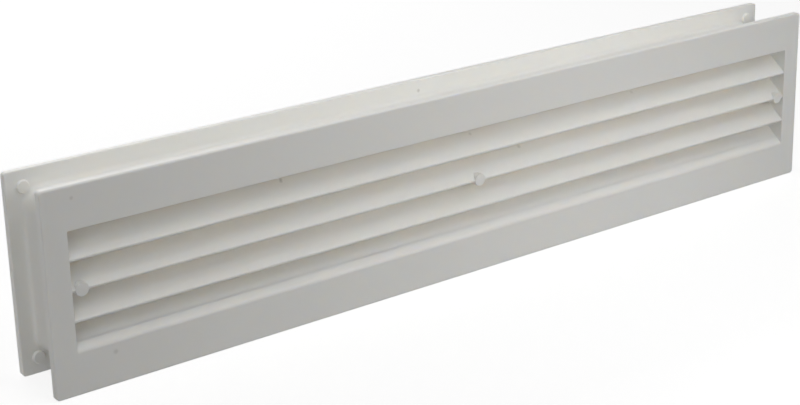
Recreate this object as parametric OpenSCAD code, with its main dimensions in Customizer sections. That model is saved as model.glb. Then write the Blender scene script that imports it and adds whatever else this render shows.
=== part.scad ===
// Telescopic two-part door vent grille with sloping louvres.
// Frame: X along the length, Y through the door, Z up, origin in the middle.
// The front half faces -Y. The rear half is the same design turned half a turn about Z.
// Inside a half, y is the depth below its outer face.

/* [Faceplate] */
// Overall length of each faceplate
plate_w = 457; // [440:1:480]
// Overall height of each faceplate
plate_h = 92; // [90:1:110]
// Thickness of each faceplate
plate_t = 3.8; // [3.4:0.1:4.4]
// Radius of the four faceplate corners
plate_corner_r = 1.8; // [1.5:0.1:3]
// Radius along the outer edge of the faceplate
plate_edge_r = 0.9; // [0.3:0.05:1.2]
// Radius along the edge of the faceplate that faces the door
plate_back_r = 0.5; // [0.3:0.05:0.8]
// Thickness of the thinnest door that the vent clamps
door_t = 28; // [26:0.5:32]

/* [Window] */
// Clear length of the window
window_w = 435; // [420:1:436]
// Height of the window's top edge above the middle
window_top = 26.7; // [26:0.1:28]
// Depth of the window's bottom edge below the middle
window_bottom = 27.5; // [27:0.1:28.4]

/* [Sleeves] */
// Outer height of the visible rear sleeve
sleeve_h = 73.6; // [72:0.1:75]
// Corner radius of the visible rear sleeve
sleeve_corner_r = 8; // [6:0.5:9]
// Wall of the rear sleeve
sleeve_wall = 1.5; // [1.2:0.1:1.8]
// Wall of the front sleeve
inner_wall = 1.45; // [1.2:0.05:1.5]
// Play between the two sleeves on every side
sleeve_gap = 0.3; // [0.25:0.05:0.5]
// Depth that the front sleeve reaches from the front face
inner_reach = 20.5; // [18:0.5:20.5]
// Radius of the fillet where the rear sleeve meets its faceplate
root_fillet_r = 2; // [1:0.1:2.1]

/* [Louvres] */
// Vertical distance from one blade to the next
blade_pitch = 13.5; // [13.2:0.1:13.6]
// Height of the middle blade's nose and of the screw posts above the middle
centre_z = 0.35; // [0:0.05:0.5]
// Slope of the blades, rising inwards
blade_angle = 40; // [38:1:41]
// Radius of the rounded nose of a blade
nose_r = 0.95; // [0.8:0.05:1.1]
// Radius of the thinner tail of a blade
tail_r = 0.75; // [0.6:0.05:0.9]
// Depth of the nose below the outer face
nose_depth = 0.25; // [0.1:0.05:0.5]
// Depth that the blades reach
blade_reach = 14.4; // [13:0.1:14.8]
// Radius of the soft edge where the sill leaves the bottom rail
sill_r = 2.5; // [1.5:0.1:3]

/* [Ribs] */
// Distance between the stiffening ribs
rib_pitch = 108.75; // [100:0.25:112]
// Thickness of a rib
rib_t = 1.6; // [1.2:0.1:2]
// Depth at which the ribs start
rib_front = 10; // [9:0.1:11]
// Depth that the ribs reach
rib_reach = 16.5; // [16:0.1:17]

/* [Screw posts] */
// Distance of the end posts from the middle
post_x = 212.8; // [208:0.1:213]
// Diameter of the plain front posts
post_d = 6; // [5.6:0.1:6.4]
// Diameter of the rear posts that hold the screw heads
head_post_d = 8.6; // [8.2:0.1:8.8]
// Diameter of the sunk bore for a screw head
head_bore_d = 6.4; // [6.2:0.1:6.6]
// Depth of the screw head's seat below the rear face
head_seat = 7.6; // [7:0.1:8]
// Diameter of the hole for the screw shank
shank_bore_d = 3; // [3:0.02:3.08]
// Depth of the blind screw hole in a front post
pilot_depth = 15; // [14.8:0.1:15.4]
// Distance between facing posts on the thinnest door
post_gap = 0.4; // [0.4:0.1:1]

/* [Screws] */
// Diameter over the thread
shank_d = 2.9; // [2.88:0.02:2.94]
// Length under the head
shank_l = 25; // [24:0.5:25]
// Diameter of the pan head
head_d = 5.6; // [5.2:0.1:5.6]
// Height of the pan head
head_h = 2.2; // [1.8:0.1:2.4]
// Length of the pointed tip
tip_l = 2.4; // [1.5:0.1:3]

/* [Locating pips] */
// Diameter of the raised pips on the inner side of a faceplate, at their foot
pip_d = 6.2; // [5.8:0.1:6.4]
// Height of the pips
pip_h = 1; // [0.6:0.1:1.2]
// Distance of a pip's centre from the end of the plate
pip_from_end = 8; // [7:0.1:8]
// Distance of a pip's centre from the long edge of the plate
pip_from_edge = 7.5; // [7:0.1:7.6]

/* [Hidden] */

round_fn = 48;
plastic = "#e9e9e4";
zinc = "#b9bcc0";
eps = 0.01;

depth = door_t + 2 * plate_t;

// The front sleeve slides inside the rear one, so its size follows from the outer one.
step = sleeve_wall + sleeve_gap;
inner_w = window_w + 2 * inner_wall;
sleeve_w = inner_w + 2 * step;
inner_h = sleeve_h - 2 * step;
inner_corner_r = sleeve_corner_r - step;
duct_h = inner_h - 2 * inner_wall;
rear_duct_w = sleeve_w - 2 * sleeve_wall;
rear_duct_h = sleeve_h - 2 * sleeve_wall;

// A shallow groove in the front plate takes the free end of the rear sleeve.
groove_depth = 0.6;
groove_play = 0.4;
sleeve_end_gap = 0.3;
groove_w = sleeve_w + 2 * groove_play;
groove_h = sleeve_h + 2 * groove_play;
groove_width = step + groove_play;
sleeve_reach = depth - (plate_t - groove_depth) - sleeve_end_gap;

post_reach = (depth - post_gap) / 2;
// The nose is a bead, a touch fuller than the flats behind it.
flat_r = nose_r - 0.02;
nose_y = nose_depth + nose_r;
tail_y = blade_reach - tail_r;
rib_clear = 0.3;

function unit(angle) = [cos(angle), sin(angle)];

// Depth and height at which the slope of the window's bottom edge starts, and its height
// at a depth.
sill_start = [sill_r, -window_bottom] + sill_r * unit(90 + blade_angle);
function sill_z(y) = sill_start[1] + (y - sill_start[0]) * tan(blade_angle);

function blade_z(level) = centre_z + level * blade_pitch;

// Moves a part drawn in depth coordinates to the front or to the rear of the vent.
module front_side() {
    translate([0, -depth / 2, 0]) children();
}

module rear_side() {
    rotate([0, 0, 180]) translate([0, -depth / 2, 0]) children();
}

// Turns a profile of depth and height into a bar along X.
module along_x(length) {
    rotate([90, 0, 90]) linear_extrude(length, center = true) children();
}

// Sweeps a profile round a rectangle with rounded corners. The profile's x is the
// distance from the corner's centre, and its y is the depth.
module around(w, h, r) {
    rotate([-90, 0, 0])
        for (side = [0:3]) {
            run = (side % 2 == 0 ? h : w) - 2 * r;
            reach = (side % 2 == 0 ? w : h) / 2 - r;
            rotate([0, 0, 90 * side]) {
                translate([reach, 0, 0]) rotate([90, 0, 0])
                    linear_extrude(run, center = true) children();
                translate([reach, run / 2, 0])
                    rotate_extrude(angle = 90, $fn = round_fn) children();
            }
        }
}

// One wall of a sleeve between two depths.
module sleeve(w, h, r, wall, from_y, to_y) {
    around(w, h, r) translate([r - wall, from_y]) square([wall, to_y - from_y]);
}

// Faceplate with rounded corners and a rounded outer edge, and its window.
module faceplate() {
    inset = 2 * plate_corner_r;
    difference() {
        union() {
            translate([-(plate_w - inset) / 2, 0, -(plate_h - inset) / 2])
                cube([plate_w - inset, plate_t, plate_h - inset]);
            around(plate_w, plate_h, plate_corner_r) edge_profile();
        }
        along_x(window_w) window_profile();
    }
}

// The window's bottom edge leaves the rail in a soft curve and slopes up like a blade.
module window_profile() {
    behind = plate_t + 1;
    difference() {
        polygon([[-1, -window_bottom], [sill_start[0], -window_bottom], sill_start,
                 [behind, sill_z(behind)], [behind, window_top], [-1, window_top]]);
        translate([sill_r, -window_bottom]) circle(sill_r, $fn = round_fn);
    }
}

// Both edges of the plate are rounded, the one that faces the door less so.
module edge_profile() {
    difference() {
        square([plate_corner_r, plate_t]);
        difference() {
            translate([plate_corner_r - plate_edge_r, 0]) square(plate_edge_r);
            translate([plate_corner_r - plate_edge_r, plate_edge_r])
                circle(plate_edge_r, $fn = round_fn);
        }
        difference() {
            translate([plate_corner_r - plate_back_r, plate_t - plate_back_r])
                square(plate_back_r);
            translate([plate_corner_r - plate_back_r, plate_t - plate_back_r])
                circle(plate_back_r, $fn = round_fn);
        }
    }
}

module pips() {
    for (x = [-1, 1], z = [-1, 1])
        translate([x * (plate_w / 2 - pip_from_end), plate_t, z * (plate_h / 2 - pip_from_edge)])
            rotate([-90, 0, 0])
                cylinder(d1 = pip_d, d2 = pip_d - pip_h, h = pip_h, $fn = round_fn);
}

module front_frame() {
    color(plastic) front_side() {
        difference() {
            faceplate();
            around(groove_w, groove_h, inner_corner_r + groove_width)
                translate([inner_corner_r, plate_t - groove_depth])
                    square([groove_width, groove_depth + eps]);
        }
        sleeve(inner_w, inner_h, inner_corner_r, inner_wall, plate_t, inner_reach);
        pips();
    }
}

module rear_frame() {
    color(plastic) rear_side() {
        faceplate();
        sleeve(sleeve_w, sleeve_h, sleeve_corner_r, sleeve_wall, plate_t, sleeve_reach);
        around(sleeve_w, sleeve_h, sleeve_corner_r)
            translate([sleeve_corner_r, plate_t]) root_fillet();
        pips();
    }
}

module root_fillet() {
    difference() {
        square(root_fillet_r);
        translate([root_fillet_r, root_fillet_r]) circle(root_fillet_r, $fn = round_fn);
    }
}

// Blade profile: a round nose, a thinner round tail, and the flats between them.
module blade_profile() {
    run = (tail_y - nose_y) / cos(blade_angle);
    spread = acos((flat_r - tail_r) / run);
    nose = [nose_y, 0];
    tail = nose + run * unit(blade_angle);
    above = unit(blade_angle + spread);
    below = unit(blade_angle - spread);
    polygon([nose + flat_r * above, nose + flat_r * below,
             tail + tail_r * below, tail + tail_r * above]);
    translate(nose) circle(nose_r, $fn = round_fn);
    translate(tail) circle(tail_r, $fn = round_fn);
}

// Sill profile: it carries on the slope of the window's bottom edge behind the plate.
module sill_profile() {
    thick = (flat_r + tail_r) / cos(blade_angle);
    polygon([[plate_t, sill_z(plate_t)], [plate_t, sill_z(plate_t) - thick],
             [tail_y, sill_z(tail_y) - thick], [tail_y, sill_z(tail_y)]]);
}

// Widens the bar behind the plate to the walls of the rear sleeve.
module rear_bar() {
    intersection() {
        along_x(rear_duct_w) children();
        union() {
            translate([-window_w / 2, 0, -plate_h / 2]) cube([window_w, depth / 2, plate_h]);
            translate([-rear_duct_w / 2, plate_t, -plate_h / 2])
                cube([rear_duct_w, depth / 2, plate_h]);
        }
    }
}

// The space that the three posts take out of blades and ribs.
module post_space(diameter) {
    for (x = [-post_x, 0, post_x])
        translate([x, -eps, centre_z]) rotate([-90, 0, 0])
            cylinder(d = diameter, h = depth / 2, $fn = round_fn);
}

module front_blade(level) {
    color(plastic) front_side() difference() {
        translate([0, 0, blade_z(level)]) along_x(window_w) blade_profile();
        post_space(post_d);
    }
}

module rear_blade(level) {
    color(plastic) rear_side() difference() {
        translate([0, 0, blade_z(level)]) rear_bar() blade_profile();
        post_space(head_post_d);
    }
}

module front_blade_top() { front_blade(1); }
module front_blade_middle() { front_blade(0); }
module front_blade_bottom() { front_blade(-1); }
module rear_blade_top() { rear_blade(1); }
module rear_blade_middle() { rear_blade(0); }
module rear_blade_bottom() { rear_blade(-1); }

module front_sill() {
    color(plastic) front_side() along_x(window_w) sill_profile();
}

module rear_sill() {
    color(plastic) rear_side() rear_bar() sill_profile();
}

// A comb-shaped rib behind the blades, slotted for each of them.
module rib_profile(height) {
    difference() {
        translate([rib_front, -height / 2]) square([rib_reach - rib_front, height]);
        for (level = [-1:1]) translate([0, blade_z(level)]) blade_profile();
        sill_profile();
    }
}

module front_rib(place) {
    color(plastic) front_side() difference() {
        translate([place * rib_pitch, 0, 0]) along_x(rib_t) rib_profile(duct_h);
        post_space(post_d);
    }
}

// The rear ribs are stepped at both ends to let the front sleeve in.
module rear_rib(place) {
    free_y = depth - inner_reach - rib_clear;
    free_h = duct_h - 2 * rib_clear;
    color(plastic) rear_side() difference() {
        translate([-place * rib_pitch, 0, 0]) along_x(rib_t) difference() {
            rib_profile(rear_duct_h);
            for (end = [-1, 1])
                translate([free_y, end > 0 ? free_h / 2 : -plate_h / 2])
                    square([rib_reach, (plate_h - free_h) / 2]);
        }
        post_space(head_post_d);
    }
}

module front_rib_left() { front_rib(-1); }
module front_rib_centre() { front_rib(0); }
module front_rib_right() { front_rib(1); }
module rear_rib_left() { rear_rib(-1); }
module rear_rib_centre() { rear_rib(0); }
module rear_rib_right() { rear_rib(1); }

// Front post: plain at the face, with a blind hole for the screw from its inner end.
module front_post(place) {
    color(plastic) front_side() translate([place * post_x, 0, centre_z]) rotate([-90, 0, 0])
        difference() {
            cylinder(d = post_d, h = post_reach, $fn = round_fn);
            translate([0, 0, post_reach - pilot_depth])
                cylinder(d = shank_bore_d, h = pilot_depth + eps, $fn = round_fn);
        }
}

// Rear post: a sunk bore for the screw head and a through hole for its shank.
module rear_post(place) {
    color(plastic) rear_side() translate([-place * post_x, 0, centre_z]) rotate([-90, 0, 0])
        difference() {
            cylinder(d = head_post_d, h = post_reach, $fn = round_fn);
            translate([0, 0, -eps]) cylinder(d = head_bore_d, h = head_seat + eps, $fn = round_fn);
            cylinder(d = shank_bore_d, h = post_reach + eps, $fn = round_fn);
        }
}

module front_post_left() { front_post(-1); }
module front_post_centre() { front_post(0); }
module front_post_right() { front_post(1); }
module rear_post_left() { rear_post(-1); }
module rear_post_centre() { rear_post(0); }
module rear_post_right() { rear_post(1); }

// Pan head tapping screw, with its head towards the rear and a cross recess.
module screw(place) {
    recess_w = 0.9;
    recess_l = 3;
    recess_depth = 1.3;
    dome_r = 1.2;
    color(zinc) rear_side() translate([-place * post_x, head_seat, centre_z]) rotate([-90, 0, 0]) {
        difference() {
            rotate_extrude($fn = round_fn) {
                translate([0, -head_h]) square([head_d / 2 - dome_r, head_h]);
                translate([0, dome_r - head_h]) square([head_d / 2, head_h - dome_r]);
                intersection() {
                    translate([head_d / 2 - dome_r, dome_r - head_h])
                        circle(dome_r, $fn = round_fn);
                    translate([0, -head_h]) square([head_d / 2, dome_r]);
                }
            }
            for (turn = [0, 90])
                rotate([0, 0, turn]) translate([-recess_l / 2, -recess_w / 2, -head_h - eps])
                    cube([recess_l, recess_w, recess_depth + eps]);
        }
        cylinder(d = shank_d, h = shank_l - tip_l, $fn = round_fn);
        translate([0, 0, shank_l - tip_l])
            cylinder(d1 = shank_d, d2 = shank_d / 4, h = tip_l, $fn = round_fn);
    }
}

module screw_left() { screw(-1); }
module screw_centre() { screw(0); }
module screw_right() { screw(1); }

front_frame();
front_sill();
front_blade_top();
front_blade_middle();
front_blade_bottom();
front_rib_left();
front_rib_centre();
front_rib_right();
front_post_left();
front_post_centre();
front_post_right();
rear_frame();
rear_sill();
rear_blade_top();
rear_blade_middle();
rear_blade_bottom();
rear_rib_left();
rear_rib_centre();
rear_rib_right();
rear_post_left();
rear_post_centre();
rear_post_right();
screw_left();
screw_centre();
screw_right();
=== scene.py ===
"""Looks of the telescopic door vent grille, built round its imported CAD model."""
import math

import bpy
from mathutils import Matrix, Vector


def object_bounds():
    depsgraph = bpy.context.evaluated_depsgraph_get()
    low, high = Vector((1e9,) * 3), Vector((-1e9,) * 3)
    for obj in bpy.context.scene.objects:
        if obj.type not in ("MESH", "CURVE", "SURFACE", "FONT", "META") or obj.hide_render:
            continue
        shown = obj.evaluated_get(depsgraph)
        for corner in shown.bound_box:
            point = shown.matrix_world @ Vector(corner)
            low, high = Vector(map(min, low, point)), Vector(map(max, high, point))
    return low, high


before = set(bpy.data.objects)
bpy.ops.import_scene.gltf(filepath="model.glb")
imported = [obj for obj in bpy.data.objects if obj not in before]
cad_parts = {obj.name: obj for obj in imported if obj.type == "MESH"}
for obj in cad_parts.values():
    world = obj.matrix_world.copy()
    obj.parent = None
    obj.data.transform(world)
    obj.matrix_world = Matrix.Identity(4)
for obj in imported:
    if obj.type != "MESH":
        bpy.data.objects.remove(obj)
cad_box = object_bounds()

MM = 0.001
low, high = cad_box

# Camera: the photograph's frame and the view that its edges give
IMAGE_W = 800
FOCAL_PX = 1742.8
SENSOR_MM = 36.0
AZIMUTH = math.radians(-36.97)
ELEVATION = math.radians(18.14)
ROLL = math.radians(-1.44)
DISTANCE = 837.26 * MM
PAN_RIGHT = -38.63 * MM
PAN_UP = 6.27 * MM
AXIS_ABOVE_CENTRE_PX = 35.0


def make_camera():
    """A camera at the photograph's viewing angle, aimed from the middle of the front face."""
    back = Vector((math.sin(AZIMUTH) * math.cos(ELEVATION),
                   -math.cos(AZIMUTH) * math.cos(ELEVATION), math.sin(ELEVATION)))
    level_right = Vector((0, 0, 1)).cross(back).normalized()
    level_up = back.cross(level_right)
    right = math.cos(ROLL) * level_right + math.sin(ROLL) * level_up
    up = -math.sin(ROLL) * level_right + math.cos(ROLL) * level_up
    target = Vector((0, low.y, 0))
    place = target + PAN_RIGHT * right + PAN_UP * up + DISTANCE * back

    data = bpy.data.cameras.new("camera")
    data.sensor_width = SENSOR_MM
    data.lens = SENSOR_MM * FOCAL_PX / IMAGE_W
    data.shift_y = -AXIS_ABOVE_CENTRE_PX / IMAGE_W
    data.clip_start = 0.01
    data.clip_end = 20
    camera = bpy.data.objects.new("camera", data)
    axes = Matrix((right, up, back)).transposed()
    camera.matrix_world = Matrix.Translation(place) @ axes.to_4x4()
    bpy.context.scene.collection.objects.link(camera)
    bpy.context.scene.camera = camera


def make_lamp(name, place, target, size, watts, spread=180):
    """A soft rectangular lamp that faces a point. Lengths are metres, the spread is degrees."""
    data = bpy.data.lights.new(name, "AREA")
    data.shape = "RECTANGLE"
    data.size, data.size_y = size
    data.energy = watts
    data.spread = math.radians(spread)
    lamp = bpy.data.objects.new(name, data)
    lamp.location = place
    lamp.rotation_mode = "QUATERNION"
    lamp.rotation_quaternion = (Vector(target) - Vector(place)).to_track_quat("-Z", "Y")
    bpy.context.scene.collection.objects.link(lamp)


def make_lamps():
    """Light from behind and above, and less from the front, where it falls off to the left."""
    make_lamp("behind", (0, 1.2, 0.6), (0, 0.2, 0), (1.4, 0.5), 7.5)
    make_lamp("above", (0, 0.03, 1.0), (0, 0.01, 0), (1.2, 0.15), 0.61)
    make_lamp("above_left", (-0.35, -0.05, 0.5), (-0.2, 0, 0), (0.3, 0.1), 0.41)
    make_lamp("steep_front", (0.25, -0.3, 1.1), (0.1, 0, 0), (0.6, 0.3), 0.87)
    make_lamp("high_right", (0.6, -0.6, 0.9), (0.1, 0, 0), (0.5, 0.5), 2.25)
    make_lamp("front_left", (-1.0, -0.7, 0.4), (0.1, 0, 0), (0.7, 0.7), 2.43)
    make_lamp("front_spot", (0.1, -0.8, 0.3), (0.08, 0, 0), (0.2, 0.2), 0.26, spread=60)


def new_material(name):
    material = bpy.data.materials.new(name)
    material.use_nodes = True
    return material


class Shader:
    """A short way to build the nodes of a material or of the world."""

    def __init__(self, owner):
        self.tree = owner.node_tree

    def add(self, kind, **values):
        """Adds a node. A value named like an input sets or links it, others set the node."""
        node = self.tree.nodes.new("ShaderNode" + kind)
        for key, value in values.items():
            if hasattr(node, key):
                setattr(node, key, value)
            else:
                self.feed(node.inputs[key.replace("_", " ")], value)
        return node

    def feed(self, socket, value):
        """Links a socket to another node's output, or sets its value."""
        if isinstance(value, bpy.types.NodeSocket):
            self.tree.links.new(value, socket)
        else:
            socket.default_value = value

    def set_surface(self, **values):
        """Sets or links the sockets of the material's Principled shader."""
        surface = self.tree.nodes["Principled BSDF"]
        for key, value in values.items():
            self.feed(surface.inputs[key.replace("_", " ")], value)

    def place(self):
        """Object coordinates, which are metres in the CAD frame."""
        return self.add("TexCoord").outputs["Object"]

    def noise(self, place, size, detail, stretch=(1, 1, 1)):
        """Noise with cells of about the given size in metres."""
        scaled = self.add("Mapping", Vector=place, Scale=stretch).outputs["Vector"]
        return self.add("TexNoise", Vector=scaled, Scale=1 / size, Detail=detail).outputs["Fac"]

    def remap(self, value, source, result):
        """Maps a value from the source range to the result range."""
        node = self.add("MapRange", Value=value, From_Min=source[0], From_Max=source[1],
                        To_Min=result[0], To_Max=result[1])
        return node.outputs["Result"]

    def between(self, factor, first, second):
        """A colour between two others."""
        node = self.add("Mix", data_type="RGBA")
        self.feed(node.inputs["Factor"], factor)
        self.feed(node.inputs["A"], first)
        self.feed(node.inputs["B"], second)
        return node.outputs["Result"]

    def bump(self, height, depth, strength, below=None):
        """A bump whose height is a value from 0 to 1 times a depth in metres."""
        node = self.add("Bump", Height=height, Distance=depth, Strength=strength)
        if below is not None:
            self.feed(node.inputs["Normal"], below)
        return node.outputs["Normal"]


# Dark spots of the moulding, and painted shade as dark ticks where the ribs' front edges lie in
# shade: place, radius, strength
MOULDING_SPECKS_AND_SHADE_TICKS = [((-214.3 * MM, low.y, 40.4 * MM), 1.1 * MM, 0.20),
          ((-200.0 * MM, low.y, -31.2 * MM), 1.5 * MM, 0.22),
          ((-11.9 * MM, high.y - 3.8 * MM, 40.5 * MM), 1.2 * MM, 0.35),
          ((-107.5 * MM, -8.1 * MM, 22.2 * MM), 1.1 * MM, 0.35),
          ((-107.9 * MM, -8.9 * MM, 21.6 * MM), 1.1 * MM, 0.35),
          ((1.1 * MM, -9.1 * MM, 21.3 * MM), 1.2 * MM, 0.20),
          ((109.4 * MM, -8.7 * MM, 21.5 * MM), 1.3 * MM, 0.15),
          ((32.5 * MM, -8.6 * MM, 8.3 * MM), 1.4 * MM, 0.25)]
SPECK_CORE = 0.3    # share of a speck's radius that is evenly dark
# Dark colour of the moulding spots and of the painted shade at the rib ticks
SPECK_AND_SHADE_DARK = (0.30, 0.27, 0.23, 1)


def darken_specks_and_paint_shade(shader, place, colour):
    """Darkens a colour round each moulding spot, and paints shade round each rib tick."""
    for spot, radius, strength in MOULDING_SPECKS_AND_SHADE_TICKS:
        away = shader.add("VectorMath", operation="DISTANCE")
        shader.feed(away.inputs[0], place)
        shader.feed(away.inputs[1], spot)
        speck_and_shade = shader.remap(away.outputs["Value"], (SPECK_CORE * radius, radius), (strength, 0))
        colour = shader.between(speck_and_shade, colour, SPECK_AND_SHADE_DARK)
    return colour


# Depths below the outer face over which painted warm light tints the plastic between the blades
PAINTED_WARMTH_FROM = 5 * MM
PAINTED_WARMTH_FULL = 9.5 * MM
# Colour of the painted warm light deep between the blades
PAINTED_WARM_LIGHT = (0.93, 0.89, 0.825, 1)


def paint_warm_light_inside(shader, place, colour):
    """Paints warm light deep between the blades, a tint that stands in for the light that comes
    through the plastic and bounces there.
    """
    across = shader.add("SeparateXYZ", Vector=place).outputs["Y"]
    from_middle = shader.add("Math", operation="ABSOLUTE")
    shader.feed(from_middle.inputs[0], across)
    warm = shader.remap(from_middle.outputs[0], (high.y - PAINTED_WARMTH_FULL, high.y - PAINTED_WARMTH_FROM), (1, 0))
    return shader.between(warm, colour, PAINTED_WARM_LIGHT)


# White plastic: its long flow marks from dark to light, a mottle over them, and a fine grain
FLOW_DARK = (0.910, 0.903, 0.866, 1)
FLOW_LIGHT = (0.930, 0.923, 0.888, 1)
MOTTLE = (0.918, 0.910, 0.872, 1)
FLOW_SIZE = 30 * MM
MOTTLE_SIZE = 2.5 * MM
GRAIN_SIZE = 0.35 * MM
MOTTLE_DEPTH = 0.02 * MM
GRAIN_DEPTH = 0.008 * MM
SCATTER = 0.9 * MM


def white_plastic(name, inside=False):
    """Satin white moulded plastic, with painted warm light deep between the blades if it is
    inside.
    """
    material = new_material(name)
    shader = Shader(material)
    place = shader.place()
    flow = shader.noise(place, FLOW_SIZE, 3, stretch=(0.25, 1, 1))
    mottle = shader.noise(place, MOTTLE_SIZE, 4)
    grain = shader.noise(place, GRAIN_SIZE, 2)
    base = shader.between(shader.remap(flow, (0.3, 0.7), (0, 1)), FLOW_DARK, FLOW_LIGHT)
    colour = shader.between(shader.remap(mottle, (0.35, 0.65), (0, 0.5)), base, MOTTLE)
    if inside:
        # Painted warm light deep between the blades
        colour = paint_warm_light_inside(shader, place, colour)
    # Dark moulding spots, and painted shade at the rib ticks
    colour = darken_specks_and_paint_shade(shader, place, colour)
    rough = shader.remap(mottle, (0.3, 0.7), (0.40, 0.52))
    soft = shader.bump(mottle, MOTTLE_DEPTH, 0.5)
    fine = shader.bump(grain, GRAIN_DEPTH, 0.6, below=soft)
    shader.set_surface(Base_Color=colour, Roughness=rough, Normal=fine, IOR=1.5,
                       Subsurface_Weight=0.8, Subsurface_Scale=SCATTER,
                       Subsurface_Radius=(1.0, 0.92, 0.8))
    return material


# Zinc plate, clouded from dark to light, over fine drawing marks
ZINC_DARK = (0.56, 0.57, 0.58, 1)
ZINC_LIGHT = (0.68, 0.69, 0.69, 1)
CLOUD_SIZE = 1.2 * MM
DRAWN_SIZE = 0.25 * MM
DRAWN_DEPTH = 0.01 * MM


def zinc_steel():
    """Bright zinc plate over drawn steel."""
    material = new_material("zinc_steel")
    shader = Shader(material)
    place = shader.place()
    cloud = shader.noise(place, CLOUD_SIZE, 4)
    drawn = shader.noise(place, DRAWN_SIZE, 2, stretch=(1, 0.15, 1))
    colour = shader.between(cloud, ZINC_DARK, ZINC_LIGHT)
    rough = shader.remap(drawn, (0.3, 0.7), (0.26, 0.40))
    shader.set_surface(Base_Color=colour, Roughness=rough, Metallic=1.0,
                       Normal=shader.bump(drawn, DRAWN_DEPTH, 0.5))
    return material


def look_of(name):
    """The kind of material that a CAD node has."""
    if name.startswith("screw"):
        return "screw"
    if any(word in name for word in ("blade", "sill", "rib")):
        return "inside"
    return "outside"


def dress_nodes():
    """Gives each CAD node its material."""
    looks = {"screw": zinc_steel(), "outside": white_plastic("white_plastic"),
             "inside": white_plastic("white_plastic_inside", inside=True)}
    for name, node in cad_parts.items():
        node.data.materials.clear()
        node.data.materials.append(looks[look_of(name)])


def grey(level):
    return (level, level, level, 1)


def seen_ray(shader):
    """1 for camera, glossy and transmission rays, else 0."""
    paths = shader.add("LightPath").outputs
    seen = paths["Is Camera Ray"]
    for kind in ("Is Glossy Ray", "Is Transmission Ray"):
        larger = shader.add("Math", operation="MAXIMUM")
        shader.feed(larger.inputs[0], seen)
        shader.feed(larger.inputs[1], paths[kind])
        seen = larger.outputs[0]
    return seen


def show_and_light(shader, shown, lighting, output):
    """Gives one surface to the rays that see it and another to those that only carry light."""
    pick = shader.add("MixShader")
    shader.feed(pick.inputs[0], seen_ray(shader))
    shader.feed(pick.inputs[1], lighting.outputs[0])
    shader.feed(pick.inputs[2], shown.outputs[0])
    shader.feed(shader.tree.nodes[output].inputs["Surface"], pick.outputs[0])


# Floor: white to the camera except for the object's shadow. Like a white card behind the object
# and a grey one in front, it throws more light back from behind than from the front.
FLOOR_SIZE = 6.0
FLOOR_CELLS = 8
BOUNCE_BEHIND = 0.9
BOUNCE_FRONT = 0.3
FLOOR_GLOW = 0.77
FLOOR_SHADE = 0.40


def white_floor():
    """A white that glows, so that only the object's shadow shows on it."""
    material = new_material("floor_white")
    shader = Shader(material)
    shader.tree.nodes.remove(shader.tree.nodes["Principled BSDF"])
    across = shader.add("SeparateXYZ", Vector=shader.place()).outputs["Y"]
    bounce = shader.between(shader.remap(across, (low.y, high.y), (0, 1)),
                            grey(BOUNCE_FRONT), grey(BOUNCE_BEHIND))
    card = shader.add("BsdfDiffuse", Color=bounce)
    shade = shader.add("BsdfDiffuse", Color=grey(FLOOR_SHADE))
    glow = shader.add("Emission", Color=grey(1), Strength=FLOOR_GLOW)
    white = shader.add("AddShader")
    shader.feed(white.inputs[0], shade.outputs[0])
    shader.feed(white.inputs[1], glow.outputs[0])
    show_and_light(shader, white, card, "Material Output")
    return material


def make_floor():
    """A plain floor that the object stands on."""
    bpy.ops.mesh.primitive_grid_add(x_subdivisions=FLOOR_CELLS, y_subdivisions=FLOOR_CELLS,
                                    size=FLOOR_SIZE)
    floor = bpy.context.object
    floor.name = "floor"
    floor.location.z = low.z
    floor.data.materials.append(white_floor())


WORLD_LIGHT = 0.02


def make_world():
    """A white backdrop to the camera and a faint grey light to everything else."""
    world = bpy.data.worlds.new("world")
    world.use_nodes = True
    bpy.context.scene.world = world
    shader = Shader(world)
    ambient = shader.tree.nodes["Background"]
    shader.feed(ambient.inputs["Color"], grey(WORLD_LIGHT))
    backdrop = shader.add("Background", Color=grey(1), Strength=1.0)
    show_and_light(shader, backdrop, ambient, "World Output")


make_camera()
make_lamps()
make_floor()
make_world()
dress_nodes()

scene = bpy.context.scene
scene.view_settings.view_transform = "Standard"
